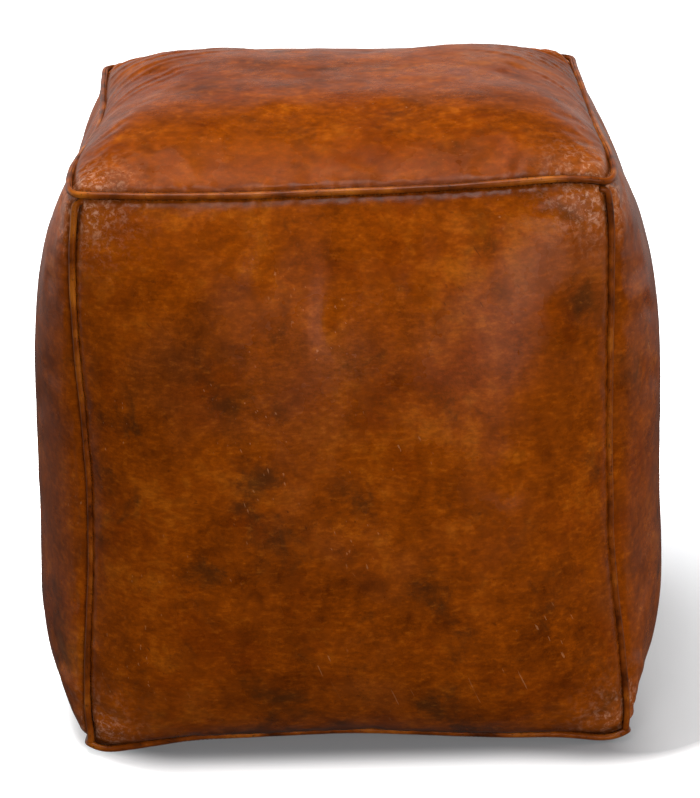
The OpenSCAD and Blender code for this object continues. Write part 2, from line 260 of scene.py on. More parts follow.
def clear_selection():
    if bpy.context.object and bpy.context.object.mode != "OBJECT":
        bpy.ops.object.mode_set(mode="OBJECT")
    bpy.ops.object.select_all(action="DESELECT")


def activate(obj):
    clear_selection()
    obj.select_set(True)
    bpy.context.view_layer.objects.active = obj


def apply_modifiers(obj):
    activate(obj)
    for m in list(obj.modifiers):
        bpy.ops.object.modifier_apply(modifier=m.name)


def panel_mesh(name, points, outward):
    """A grid primitive whose vertices are set to points, facing outward."""
    nu, nv = points.shape[:2]
    clear_selection()
    bpy.ops.mesh.primitive_grid_add(x_subdivisions=nu - 1, y_subdivisions=nv - 1, size=2)
    obj = bpy.context.object
    obj.name = obj.data.name = name
    flat = np.zeros(len(obj.data.vertices) * 3)
    obj.data.vertices.foreach_get("co", flat)
    flat = flat.reshape(-1, 3)
    i = np.rint((flat[:, 0] + 1) / 2 * (nu - 1)).astype(int)
    j = np.rint((flat[:, 1] + 1) / 2 * (nv - 1)).astype(int)
    obj.data.vertices.foreach_set("co", points[i, j].ravel())
    obj.data.update()
    normal = sum((p.normal * p.area for p in obj.data.polygons), Vector())
    if normal.dot(Vector(outward)) < 0:
        obj.data.flip_normals()
    return obj, i, j


def add_attribute(obj, name, values):
    a = obj.data.attributes.new(name, "FLOAT", "POINT")
    a.data.foreach_set("value", np.asarray(values, np.float32).ravel())


def smooth(obj):
    activate(obj)
    bpy.ops.object.shade_smooth()


def rail(name, path, closed=False):
    """A curve through the points of a path."""
    curve = bpy.data.curves.new(name, "CURVE")
    curve.dimensions = "3D"
    spline = curve.splines.new("POLY")
    spline.points.add(len(path) - 1)
    spline.points.foreach_set("co", np.c_[path, np.ones(len(path))].ravel())
    spline.use_cyclic_u = closed
    obj = bpy.data.objects.new(name, curve)
    bpy.context.scene.collection.objects.link(obj)
    return obj


def tube(name, path, radius, closed=False, sides=3, swollen=None):
    """A round tube along a path, through a curve with a bevel."""
    obj = rail(name, path, closed)
    obj.data.bevel_depth = radius
    obj.data.bevel_resolution = sides
    obj.data.use_fill_caps = True
    if swollen is not None:
        obj.data.splines[0].points.foreach_set("radius", swollen)
    activate(obj)
    bpy.ops.object.convert(target="MESH")
    bpy.ops.object.mode_set(mode="EDIT")
    bpy.ops.mesh.select_all(action="SELECT")
    bpy.ops.mesh.remove_doubles(threshold=1e-6)
    bpy.ops.mesh.normals_make_consistent(inside=False)
    bpy.ops.object.mode_set(mode="OBJECT")
    smooth(obj)
    return obj


def even(path, step, closed=False):
    """The path again with points step apart."""
    p = np.concatenate([path, path[:1]]) if closed else path
    d = np.concatenate([[0], np.cumsum(np.linalg.norm(np.diff(p, axis=0), axis=1))])
    n = max(3, int(round(d[-1] / step)))
    at = np.linspace(0, d[-1], n + 1)
    out = np.stack([np.interp(at, d, p[:, i]) for i in range(3)], -1)
    return out[:-1] if closed else out


def install(obj, material, body, slot, *nodes):
    obj.data.materials.clear()
    obj.data.materials.append(material)
    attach(obj, body)
    if nodes:
        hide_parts(*nodes)
    return obj


# ---------------------------------------------------------------- panels

def hills(points, scale, seed, octaves=3):
    """Smooth noise of about one wave per scale metres at each point, about -1 to 1."""
    shift = Vector((seed * 3.7, seed * 1.9, seed * 5.3))
    return np.array([noise.fractal(Vector(p) / scale + shift, 1.0, 2.0, octaves)
                     for p in points.reshape(-1, 3)]).reshape(points.shape[:-1])


def seam_distance(points):
    """Metres from each grid point to the nearest edge of its panel, and to each edge."""
    to = []
    for edge in (points[0], points[-1], points[:, 0], points[:, -1]):
        sample = edge[::2]
        d = np.linalg.norm(points[:, :, None] - sample[None, None], axis=-1)
        to.append(d.min(-1))
    return np.stack(to).min(0), to


def fold(points, start, bend, end, width, height):
    """A soft ridge along a curve given in shares of the panel, fading to both ends."""
    nu, nv = points.shape[:2]
    t = np.linspace(0, 1, 40)[:, None]
    line = ((1 - t) ** 2 * np.array(start) + 2 * t * (1 - t) * np.array(bend)
            + t * t * np.array(end))
    i = np.interp(line[:, 0], shares(nu - 1), np.arange(nu))
    j = np.interp(line[:, 1], shares(nv - 1), np.arange(nv))
    i0, j0 = np.minimum(i.astype(int), nu - 2), np.minimum(j.astype(int), nv - 2)
    a, b = (i - i0)[:, None], (j - j0)[:, None]
    path = ((1 - a) * (1 - b) * points[i0, j0] + a * (1 - b) * points[i0 + 1, j0]
            + (1 - a) * b * points[i0, j0 + 1] + a * b * points[i0 + 1, j0 + 1])
    d = np.linalg.norm(points[:, :, None] - path[None, None], axis=-1)
    near = d.argmin(-1)
    fade = np.sin(np.pi * np.clip(0.12 + 0.88 * near / 39, 0, 1)) ** 0.8
    x = d.min(-1) / width
    return height * fade * (np.exp(-x * x) - 0.45 * np.exp(-((x - 1.7) / 0.9) ** 2))


def puckers(points, d, to, seed, amount=0.45 * MM, pitch=11 * MM):
    """Small gathers where the leather is sewn, square to each seam."""
    rng = np.random.default_rng(seed)
    out = np.zeros(d.shape)
    for k, edge in enumerate((points[0], points[-1], points[:, 0], points[:, -1])):
        run = np.concatenate([[0], np.cumsum(np.linalg.norm(np.diff(edge, axis=0), axis=1))])
        wave = sum(np.sin(2 * math.pi * run / (pitch * f) + rng.uniform(0, 6.28))
                   for f in (0.8, 1.27, 2.1))
        calm = 0.5 + 0.5 * np.sin(2 * math.pi * run / 0.13 + rng.uniform(0, 6.28))
        band = np.exp(-((to[k] - 7 * MM) / (9 * MM)) ** 2) * smooth_step(0, 5 * MM, to[k])
        out += amount * band * ((wave * calm)[None, :] if k < 2 else (wave * calm)[:, None])
    return out


def stuff(obj, i, j, pinned, slack, cap):
    """Cloth pass: the filling presses out leather cut a little larger than its seams."""
    nu, nv = pinned.shape
    before = np.zeros(len(obj.data.vertices) * 3)
    obj.data.vertices.foreach_get("co", before)
    group = obj.vertex_groups.new(name="seam")
    for v, w in enumerate(pinned[i, j]):
        if w > 0:
            group.add([v], float(w), "REPLACE")
    cloth = obj.modifiers.new("Filling", "CLOTH")
    s = cloth.settings
    s.quality = 5
    s.mass = 0.4
    s.tension_stiffness = s.compression_stiffness = 25
    s.shear_stiffness = 10
    s.bending_stiffness = 0.8
    s.use_pressure = True
    s.uniform_pressure_force = 4
    s.shrink_min = -slack
    s.vertex_group_mass = "seam"
    s.effector_weights.gravity = 0
    cloth.collision_settings.use_collision = False
    scene = bpy.context.scene
    for f in range(1, 21):
        scene.frame_set(f)
    activate(obj)
    bpy.ops.object.modifier_apply(modifier=cloth.name)
    scene.frame_set(1)
    after = np.zeros_like(before)
    obj.data.vertices.foreach_get("co", after)
    grid = np.zeros((nu, nv, 3))
    grid[i, j] = (after - before).reshape(-1, 3)
    even_part = soften(soften(grid, 9).transpose(1, 0, 2), 9).transpose(1, 0, 2)
    ripple = grid - 0.85 * even_part
    size = np.linalg.norm(ripple, axis=-1, keepdims=True)
    ripple *= np.minimum(1, cap / np.maximum(size, 1e-9))
    obj.data.vertices.foreach_set("co", (before.reshape(-1, 3) + ripple[i, j]).ravel())
    obj.vertex_groups.clear()


def finish_panel(obj, i, j, d, corner_wear_and_highlight, stain, shade=1.0):
    """Thickness, one subdivision and the attributes that the leather reads: painted shade along the
    seams, corner wear with a painted highlight, and stains.
    """
    # seam: painted shade beside the piping, where the grooves lie in shadow
    add_attribute(obj, "seam", shade * np.exp(-(d / (4.6 * MM)) ** 2)[i, j])
    # corner wear, also painted paler as a highlight
    add_attribute(obj, "corner_wear_and_highlight", corner_wear_and_highlight[i, j])
    add_attribute(obj, "stain", stain[i, j])
    solid = obj.modifiers.new("Leather", "SOLIDIFY")
    solid.thickness = sizes().leather_t
    solid.offset = -1
    sub = obj.modifiers.new("Round", "SUBSURF")
    sub.levels = sub.render_levels = 1
    sub.boundary_smooth = "PRESERVE_CORNERS"
    apply_modifiers(obj)
    smooth(obj)


def dress(points, out_dir, seed, crumples, crumple_mm):
    """Rolled edges, gathers, dents and crumpled corners for a panel's grid."""
    d, to = seam_distance(points)
    out = np.array(out_dir, float)
    roll = 2.6 * MM * (1 - np.exp(-d / (9 * MM)))
    roll -= 3.0 * MM * np.exp(-((d - 3 * MM) / (3.1 * MM)) ** 2)  # a groove beside the piping
    dents = 0.8 * MM * hills(points, 0.11, seed) * smooth_step(8 * MM, 60 * MM, d)
    small = 0.35 * MM * hills(points, 0.03, seed + 5) * smooth_step(4 * MM, 30 * MM, d)
    corner_wear_and_highlight = np.zeros(d.shape)
    crease = np.zeros(d.shape)
    nu, nv = d.shape
    # Crumpled corners: worn leather, which the material also paints paler as a highlight
    for (a, b), strength in crumples.items():
        corner = points[a * (nu - 1), b * (nv - 1)]
        near = np.exp(-(np.linalg.norm(points - corner, axis=-1) / (34 * MM)) ** 2) * strength
        corner_wear_and_highlight = np.maximum(corner_wear_and_highlight, near)
        lumps = hills(points, 0.012, seed + 9, 2)
        crease += crumple_mm * MM * near * (np.abs(lumps) - 0.25) * smooth_step(3 * MM, 10 * MM, d)
    lift = roll + dents + small + crease + puckers(points, d, to, seed)
    return points + out * lift[..., None], d, corner_wear_and_highlight


# Where the dye pooled most, as (across, up, radius mm) in shares of the panel
STAINS = {
    "front": ((0.05, 0.65, 34), (0.27, 0.70, 22), (0.30, 0.53, 20), (0.78, 0.77, 18),
              (0.94, 0.80, 18), (0.95, 0.56, 16), (0.92, 0.94, 20), (0.25, 0.35, 18),
              (0.15, 0.10, 16), (0.36, 0.06, 40), (0.66, 0.05, 40), (0.95, 0.06, 26),
              (0.88, 0.31, 16)),
    "top": ((0.42, 0.18, 17), (0.47, 0.45, 9), (0.37, 0.42, 15), (0.63, 0.17, 16),
            (0.77, 0.12, 20)),
}


def stained(points, panel):
    """How strongly each point is stained: given places, or a seeded scatter of them."""
    spots = STAINS.get(panel)
    if spots is None:
        rng = np.random.default_rng(len(panel) * 7 + ord(panel[0]))
        spots = [(*rng.uniform(0.05, 0.95, 2), rng.uniform(14, 34)) for _ in range(12)]
    nu, nv = points.shape[:2]
    out = np.zeros((nu, nv))
    for across, up, radius in spots:
        i = int(round(np.interp(across, shares(nu - 1), np.arange(nu))))
        j = int(round(np.interp(up, shares(nv - 1), np.arange(nv))))
        off = np.linalg.norm(points - points[i, j], axis=-1)
        out += np.exp(-(off / (radius * MM)) ** 2)
    return np.minimum(out, 1)


# Folds that fan from the top's left and right seams, as (across at the seam, how many, place
# along the seam of the first and last, how far they run, width mm, height mm)
TOP_FANS = ((0, 8, 0.96, 0.38, 0.38, 3.6, 2.7), (1, 11, 0.86, 0.36, 0.32, 3.0, 2.3))
# Single folds as (start, bend, end, width mm, height mm) in shares of the panel: first a pocket
# and the lip beside it at the top's back right corner
TOP_POCKET = (
    ((0.84, 1.0), (0.87, 0.95), (1.0, 0.90), 7, -4.2),
    ((0.90, 1.0), (0.93, 0.97), (0.97, 0.93), 7, 3.6),
)
FRONT_FOLDS = (
    ((1.0, 0.86), (0.93, 0.85), (0.86, 0.80), 9, 0.9),
    ((0.98, 0.76), (0.92, 0.74), (0.87, 0.76), 8, 0.9),
    ((0.99, 0.50), (0.93, 0.485), (0.89, 0.47), 7, 1.0),
    ((0.0, 0.10), (0.06, 0.12), (0.10, 0.05), 8, 1.6),
    ((0.0, 0.045), (0.05, 0.06), (0.10, 0.03), 6, 1.3),
    ((0.86, 0.0), (0.91, 0.06), (1.0, 0.10), 7, 1.0),
    ((0.20, 0.02), (0.22, 0.08), (0.25, 0.15), 9, 0.7),
)
SIDE_FOLDS = (
    ((0.0, 0.80), (0.08, 0.77), (0.15, 0.78), 9, 1.1),
    ((1.0, 0.64), (0.93, 0.62), (0.86, 0.65), 9, 1.0),
    ((0.0, 0.12), (0.07, 0.12), (0.12, 0.05), 8, 1.3),
    ((1.0, 0.10), (0.94, 0.12), (0.88, 0.06), 8, 1.2),
    ((0.3, 1.0), (0.32, 0.93), (0.36, 0.88), 10, 0.9),
    ((0.72, 1.0), (0.70, 0.94), (0.66, 0.90), 10, 0.9),
)


def fan(across, count, first, last, run, width, height):
    """Folds that leave a seam at even steps and bend back over the top, each a little different."""
    rng = np.random.default_rng(count)
    folds = []
    for share in np.linspace(0, 1, count):
        start = first + (last - first) * share + rng.uniform(-0.014, 0.014)
        reach = run * (0.4 + 0.6 * math.sin(math.pi * (0.15 + 0.75 * share))) * rng.uniform(0.8, 1.15)
        end = start + 0.3 * (1 - start) + 0.04
        tall = height * (1 - 0.5 * share) * rng.uniform(0.6, 1.3)
        along_top = [abs(across - reach * part) for part in (0, 0.3, 1)]
        ups = (start, start + 0.6 * (end - start), end)
        folds.append((*zip(along_top, ups), width * rng.uniform(0.8, 1.25), tall))
    return folds


# How full each side is, and how low its fullest part sits, below 1 being under its middle
FULLNESS = {"front": (1.0, 0.79), "right": (0.95, 0.76), "back": (1.0, 0.79), "left": (0.90, 0.68)}


def side_panel(k, base, top, posts):
    """One bulging side, fullest a little below its middle."""
    size = sizes()
    u, v = shares(size.grid), shares(size.grid)
    net = coons(side_of(base, k), side_of(top, k), posts[k], posts[(k + 1) % 4], u, v)
    full, sag = FULLNESS[SIDES[k]]
    U, V = 2 * u[:, None] - 1, 2 * v[None] ** sag - 1
    out = OUTWARD[k]
    shoulder = 3.0 if k % 2 == 0 else 3.35  # the left and right sides fill out nearer their seams
    points = net + out * (full * size.swell * swell(U, 4.0) * swell(V, shoulder))[..., None]
    name = f"{SIDES[k]}_panel"
    points, d, corner_wear_and_highlight = dress(points, out, 3 + k, {(0, 0): 0.9, (1, 0): 0.7, (0, 1): 0.9, (1, 1): 1},
                            2.2 if k == 0 else 1.2)
    for a, b, c, w, h in FRONT_FOLDS if k == 0 else SIDE_FOLDS:
        held = smooth_step(1 * MM, 8 * MM, d)  # folds die out where the seam holds the leather
        points += out * (held * fold(points, a, b, c, w * MM, h * MM))[..., None]
    obj, i, j = panel_mesh(name, points, out)
    stuff(obj, i, j, np.clip(1.2 - d / (9 * MM), 0, 1), 0.008, 1.0 * MM)
    shade_reach_above_base = 0.55 * np.abs(points[..., 2] - points[:, :1, 2])  # the painted shade reaches furthest just over the base piping
    # Painted shade along the seams, half as strong on the left and right sides
    finish_panel(obj, i, j, np.minimum(d, shade_reach_above_base), corner_wear_and_highlight, stained(points, SIDES[k]),
                 1.0 if k % 2 == 0 else 0.5)
    install(obj, panel_leather(SIDES[k]), "cover", "panel_leather", name)


def top_panel(top):
    """The domed top, gathered at its left and right seams."""
    size = sizes()
    u, v = shares(size.grid + 16), shares(size.grid + 16)
    net = coons(side_of(top, 0), side_of(top, 2)[::-1], side_of(top, 3)[::-1], side_of(top, 1), u, v)
    U, V = 2 * u[:, None] - 1, 2 * v[None] - 1
    up = np.array((0, 0, 1.0))
    across = swell(U, np.where(U < 0, 8.0, 5.5))  # it fills out nearer its left seam
    points = net + up * (size.dome * across * swell(V, 2.9))[..., None]
    points, d, corner_wear_and_highlight = dress(points, up, 17, {(0, 0): 0.8, (1, 0): 0.9, (0, 1): 0.5, (1, 1): 0.6},
                            2.6)
    held = smooth_step(1 * MM, 10 * MM, d)  # folds die out where the seam holds the leather
    for a, b, c, w, h in (*fan(*TOP_FANS[0]), *fan(*TOP_FANS[1]), *TOP_POCKET):
        points += up * (held * fold(points, a, b, c, w * MM, h * MM))[..., None]
    obj, i, j = panel_mesh("top_panel", points, up)
    stuff(obj, i, j, np.clip(1.2 - d / (9 * MM), 0, 1), 0.009, 1.0 * MM)
    finish_panel(obj, i, j, d, corner_wear_and_highlight, stained(points, "top"))
    install(obj, panel_leather("top"), "cover", "panel_leather", "top_panel")


def zip_lip(x):
    """Half the width of the opening between the base halves, sewn shut beyond the zip."""
    half = COIL_BOX[1].x
    return 0.03 * MM + 7 * MM * (1 - smooth_step(half + 5 * MM, half + 11.5 * MM, np.abs(x)))


def base_half(sign, base):
    """Half of the base: flat where it rests, raised along the zip and at its seams."""
    size = sizes()
    n = size.grid
    u, v = shares(n, 0.5), shares(n // 2)
    outer = side_of(base, 0) if sign < 0 else side_of(base, 2)[::-1]
    west = side_of(base, 3)[::-1][:SAMPLES // 2 + 1]
    east = side_of(base, 1)[:SAMPLES // 2 + 1]
    if sign > 0:
        west = side_of(base, 3)[:SAMPLES // 2 + 1]
        east = side_of(base, 1)[::-1][:SAMPLES // 2 + 1]
    x = np.linspace(west[-1][0], east[-1][0], 2 * SAMPLES + 1)
    valley = TAPE_BOX[0].z - size.leather_t - 0.3 * MM
    ends = np.linspace(west[-1][2], east[-1][2], len(x))
    inner = smooth_step(0.97, 0.86, np.abs(x) / x[-1])
    lip = np.stack([x, sign * zip_lip(x), ends + (valley - ends) * inner], -1)
    west[-1], east[-1] = lip[0], lip[-1]
    net = coons(outer, lip, west, east, u, v)
    U, V = 2 * u[:, None] - 1, 2 * v[None] - 1
    net[..., 2] -= 16 * MM * swell(U, 4) * swell(V, 3)
    d, to = seam_distance(net)
    net[..., 2] += 0.4 * MM * hills(net, 0.04, 41 + sign) * smooth_step(3 * MM, 20 * MM, d)
    z = net[..., 2]
    soft = 0.6 * MM  # it presses flat on the floor with a rounded edge
    net[..., 2] = 0.5 * (z + np.sqrt(z * z + soft * soft))
    name = "base_panel_front" if sign < 0 else "base_panel_rear"
    obj, i, j = panel_mesh(name, net, (0, 0, -1))
    sewn = np.minimum(np.minimum(to[0], to[1]), to[2])
    finish_panel(obj, i, j, sewn, np.zeros_like(d), stained(net, "base"))
    install(obj, panel_leather("base"), "cover", "panel_leather", name)


# ---------------------------------------------------------------- piping and stitches

def proud(path, lift):
    """A seam moved out along the diagonal between its panels, so that its piping shows."""
    outer = np.abs(path[:, :2]) > 0.9 * np.abs(path[:, :2]).max(0)
    level = np.full((len(path), 1), lift)
    return path + PROUD * np.hstack([np.sign(path[:, :2]) * outer, level])


def piping(name, path, closed, lift, seed):
    """Leather wrapped round a cord, slightly uneven as the hand pulls it."""
    size = sizes()
    path = even(proud(path, lift), 1.6 * MM, closed)
    rng = np.random.default_rng(seed)
    rough = soften(rng.normal(0, 1, (len(path), 3)), 4, wrap=closed)
    path = path + 0.25 * MM * rough
    swollen = 1 + 0.05 * soften(rng.normal(0, 1, (len(path), 1)), 3, wrap=closed)[:, 0]
    wrap = tube(name, path, size.piping_d / 2, closed, 4, swollen)
    install(wrap, painted("piping goatskin", piping_goatskin), "cover", "piping_leather", name)
    cord_name = f"{name}_cord" if closed else name.replace("piping", "cord")
    cord = tube(name.replace("piping", "piping_core"), path[::2], size.piping_d / 2 - PIPING_WALL,
                closed, 2)
    install(cord, woven("twisted cotton"), "cover", "piping_cord", cord_name)


def corner_path(k, post):
    """A corner's piping: it starts with a short turn under the top piping."""
    length = np.linalg.norm(post[-1] - post[0])
    low, high = 1.5 * MM / length, 1 - 9 * MM / length
    run = along(post, np.linspace(low, high, 260))
    side = OUTWARD[3] if k in (0, 3) else OUTWARD[1]
    end = post[-1] - side * 5.5 * MM - np.array((0, 0, 5.0 * MM))
    turn = run[-1] * 0.35 + np.array((post[-1][0], post[-1][1], post[-1][2] - 4.4 * MM)) * 0.65
    t = np.linspace(0, 1, 12)[1:, None]
    bend = (1 - t) ** 2 * run[-1] + 2 * t * (1 - t) * turn + t * t * end
    return np.concatenate([run, bend])


def run_length(path, closed=False):
    p = np.concatenate([path, path[:1]]) if closed else path
    return float(np.linalg.norm(np.diff(p, axis=0), axis=1).sum())


def stitch_row(path, closed=False):
    """One thread dash modelled once, then arrayed along a seam and bent to it."""
    size = sizes()
    clear_selection()
    bpy.ops.mesh.primitive_uv_sphere_add(segments=6, ring_count=4, radius=1)
    dash = bpy.context.object
    bpy.ops.object.mode_set(mode="EDIT")
    bpy.ops.transform.resize(value=(0.36 * size.stitch, THREAD_R, THREAD_R))
    bpy.ops.transform.translate(value=(0.5 * size.stitch, 0, 0))
    bpy.ops.object.mode_set(mode="OBJECT")
    line = rail("seam line", path, closed)
    repeat = dash.modifiers.new("Repeat", "ARRAY")
    repeat.count = max(1, int(run_length(path, closed) / size.stitch))
    repeat.use_relative_offset = False
    repeat.use_constant_offset = True
    repeat.constant_offset_displace = (size.stitch, 0, 0)
    bend = dash.modifiers.new("Follow", "CURVE")
    bend.object = line
    apply_modifiers(dash)
    bpy.data.objects.remove(line)
    return dash


def join(name, objs):
    clear_selection()
    for o in objs:
        o.select_set(True)
    bpy.context.view_layer.objects.active = objs[0]
    bpy.ops.object.join()
    obj = bpy.context.object
    obj.name = obj.data.name = name
    smooth(obj)
    return obj


# ---------------------------------------------------------------- materials

def linear(colour):
    """sRGB hex, or an sRGB colour property, to linear RGBA."""
    rgb = srgb(colour) if isinstance(colour, str) else colour
    return [c / 12.92 if c <= 0.04045 else ((c + 0.055) / 1.055) ** 2.4 for c in rgb] + [1]


# Short words for the nodes used most, each with its settings
KINDS = {
    "plus": ("Math", {"operation": "ADD"}),
    "minus": ("Math", {"operation": "SUBTRACT"}),
    "times": ("Math", {"operation": "MULTIPLY"}),
    "larger": ("Math", {"operation": "MAXIMUM"}),
    "mix": ("Mix", {"data_type": "RGBA"}),
    "remap": ("MapRange", {"interpolation_type": "SMOOTHSTEP"}),
}


def add(tree, kind, *inputs, out=None, stops=(), **named):
    """Add a node and return one of its outputs: the first in use, unless out names another.

    Inputs are values, sRGB colours as hex, or sockets to link, given in order or by name. Names
    in lower case are settings, and stops are the positions and sRGB colours of a colour ramp.
    """
    kind, settings = KINDS.get(kind, (kind, {}))
    node = tree.nodes.new("ShaderNode" + kind)
    given = []
    for name, value in {**settings, **named}.items():
        if name[0].islower():
            setattr(node, name, value)
        else:
            given.append((node.inputs[name.replace("_", " ")], value))
    given += zip([socket for socket in node.inputs if socket.enabled], inputs)
    for socket, value in given:
        if isinstance(value, bpy.types.NodeSocket):
            tree.links.new(value, socket)
        else:
            socket.default_value = linear(value) if isinstance(value, str) else value
    while stops and len(node.color_ramp.elements) < len(stops):
        node.color_ramp.elements.new(0.5)
    for i, (position, colour) in enumerate(stops):
        node.color_ramp.elements[i].position = position
        node.color_ramp.elements[i].color = linear(colour)
    return next(s for s in node.outputs if s.enabled) if out is None else node.outputs[out]


def painted(name, paint, *details):
    """The material of that name; when it is new, paint makes its shader from Object coordinates."""
    m = bpy.data.materials.get(name)
    if m is None:
        m = bpy.data.materials.new(name)
        m.use_nodes = True
        m.node_tree.nodes.clear()
        place = add(m.node_tree, "TexCoord", out="Object")
        shader = paint(m.node_tree, place, *details)
        end = m.node_tree.nodes.new("ShaderNodeOutputMaterial")
        m.node_tree.links.new(shader, end.inputs["Surface"])
    return m


# Each panel is cut from its own part of the hide: (pattern shift, share of dark stain, value lowered
# per panel as painted shade, most on the top)
HIDES = {
    "top": ((0.31, 0.12, 0.0), 0.75, 0.74), "front": ((1.7, 0.4, 0.9), 1.0, 0.92),
    "right": ((2.9, 1.1, 0.3), 0.9, 1.0), "back": ((4.3, 2.2, 1.7), 1.0, 1.0),
    "left": ((5.6, 3.4, 2.1), 0.9, 1.0), "base": ((7.1, 4.1, 3.3), 0.8, 0.8),
}

# Patterns in the goatskin as (waves per metre, detail, roughness, warp)
SKIN = {
    "clouds": (9, 3, 0.5, 0.3),  # of about 110 mm
    "patches": (27, 8, 0.70, 0.2),  # of 35 mm
    "mottling": (110, 6, 0.74, 0),  # of 9 mm
    "red dye": (13, 4, 0.6, 0.6),
    "grey dye": (8, 3, 0.5, 0),
    "pools": (24, 8, 0.66, 0.3),
    "flecks": (120, 6, 0.75, 0.2),
    "scratched": (15, 2, 0.55, 0),
    "nicked": (12, 2, 0.55, 0),
    "cracks": (230, 7, 0.78, 0.5),
    "wax": (22, 4, 0.55, 0),
    "grain": (330, 3, 0.6, 0),  # of 3 mm
    "creases": (60, 6, 0.7, 0.3),
    "crumples": (190, 6, 0.7, 0.4),
}


def panel_leather(panel):
    return painted(f"waxed goatskin {panel}", waxed_goatskin, *HIDES[panel])


def waxed_goatskin(t, place, shift, stain, painted_shade_value):
    """Vegetable-tanned goatskin, hand dyed and waxed: cloudy dye, small pores, a glossy face."""
    at = add(t, "Mapping", Vector=place, Location=shift)
    skin = {name: add(t, "TexNoise", Vector=at, Scale=scale, Detail=detail, Roughness=rough,
                      Distortion=warp) for name, (scale, detail, rough, warp) in SKIN.items()}
    tone = add(t, "plus", add(t, "times", skin["clouds"], 0.26),
               add(t, "times", skin["patches"], 0.50))
    tone = add(t, "plus", tone, add(t, "times", skin["mottling"], 0.24))
    colour = add(t, "ValToRGB", tone, stops=((0.37, colours().chestnut), (0.53, colours().cognac),
                                             (0.63, colours().tan)))
    # Redder and greyer dye in places, as it took on the hide
    red = add(t, "remap", skin["red dye"], 0.50, 0.66)
    colour = add(t, "mix", add(t, "times", red, 0.35), colour, "#702600")
    grey = add(t, "remap", skin["grey dye"], 0.54, 0.70)
    colour = add(t, "mix", add(t, "times", grey, 0.30), colour, "#7c4220")
    # Smoky stains where the dye pooled, and small dark flecks
    spot = add(t, "Attribute", attribute_name="stain", out="Fac")
    dye = add(t, "plus", skin["pools"], add(t, "times", spot, 0.11))
    pool = add(t, "remap", dye, 0.54, 0.76)
    colour = add(t, "mix", add(t, "times", pool, 0.72 * stain), colour, linear(colours().umber))
    fleck = add(t, "remap", skin["flecks"], 0.62, 0.72)
    colour = add(t, "mix", add(t, "times", fleck, 0.45 * stain), colour, "#2c1206")
    # Fibres of about 1 mm, running up the hide
    upright = add(t, "Mapping", Vector=at, Scale=(0.45, 0.45, 1))
    fibre = add(t, "TexNoise", Vector=upright, Scale=300, Detail=5, Roughness=0.72)
    colour = add(t, "mix", add(t, "remap", fibre, 0.38, 0.62, 0.34, 0), colour, "#421c04")
    colour = add(t, "mix", add(t, "remap", fibre, 0.55, 0.72, 0, 0.22), colour, "#b8691c")
    # Fine pale scratches a few centimetres long, and darker nicks across them
    marks = []
    for turn, rarity, ground, first in (((0.2, 1.1, 0.7), 0.72, "scratched", 0.52),
                                        ((0.4, 0.8, -0.7), 0.73, "nicked", 0.54)):
        drawn = add(t, "Mapping", vector_type="TEXTURE", Vector=at, Rotation=turn,
                    Scale=(0.8, 0.016, 0.016))
        streak = add(t, "TexNoise", Vector=drawn, Scale=7, Detail=1)
        marks.append(add(t, "times", add(t, "remap", streak, rarity, rarity + 0.03),
                         add(t, "remap", skin[ground], first, first + 0.10)))
    scratch, nick = marks
    colour = add(t, "mix", add(t, "times", scratch, 0.30), colour, "#c58a5c")
    colour = add(t, "mix", add(t, "times", nick, 0.55), colour, "#35150a")
    # Paler leather on the crumpled corners, partly wear and partly a painted highlight; painted shade
    # along the seams, darkest in the grooves beside the piping
    corner_wear_and_highlight = add(t, "Attribute", attribute_name="corner_wear_and_highlight", out="Fac")
    seam = add(t, "Attribute", attribute_name="seam", out="Fac")
    # Copper tint on the crumpled corners: wear, and a painted highlight
    colour = add(t, "mix", add(t, "times", corner_wear_and_highlight, 0.45), colour, "#a85a24")
    cracks = add(t, "remap", skin["cracks"], 0.49, 0.62)
    # Pale crackle on the corners: wear, and a painted highlight
    pale_wear_and_highlight = add(t, "times", add(t, "times", corner_wear_and_highlight, cracks), 0.78)
    colour = add(t, "mix", pale_wear_and_highlight, colour, "#d3a184")
    # Painted shade: a near-black mix along every seam, where its groove lies in shadow
    colour = add(t, "mix", add(t, "times", seam, 0.9), colour, "#1a0803")
    # Pores of about 1 mm, soft grain and small creases
    pores = add(t, "TexVoronoi", Vector=at, Scale=800)
    height = add(t, "plus", add(t, "times", pores, 0.25), add(t, "times", skin["grain"], 0.5))
    height = add(t, "plus", height, add(t, "times", skin["creases"], 1.6))
    height = add(t, "minus", height, add(t, "times", scratch, 0.4))
    crumple = add(t, "times", add(t, "times", corner_wear_and_highlight, skin["crumples"]), 3.5)
    height = add(t, "plus", height, crumple)
    # Gloss varies with the wax, and scratches are duller
    gloss = add(t, "remap", skin["wax"], 0.35, 0.68, 0.23, 0.36)
    return add(t, "BsdfPrincipled", IOR=1.47, Specular_IOR_Level=0.25,
               # The base colour's value is lowered per panel: painted shade
               Base_Color=add(t, "HueSaturation", Value=painted_shade_value, Color=colour),
               Roughness=add(t, "plus", gloss, add(t, "times", scratch, 0.12)),
               Normal=add(t, "Bump", Strength=0.4, Distance=0.3 * MM, Height=height))


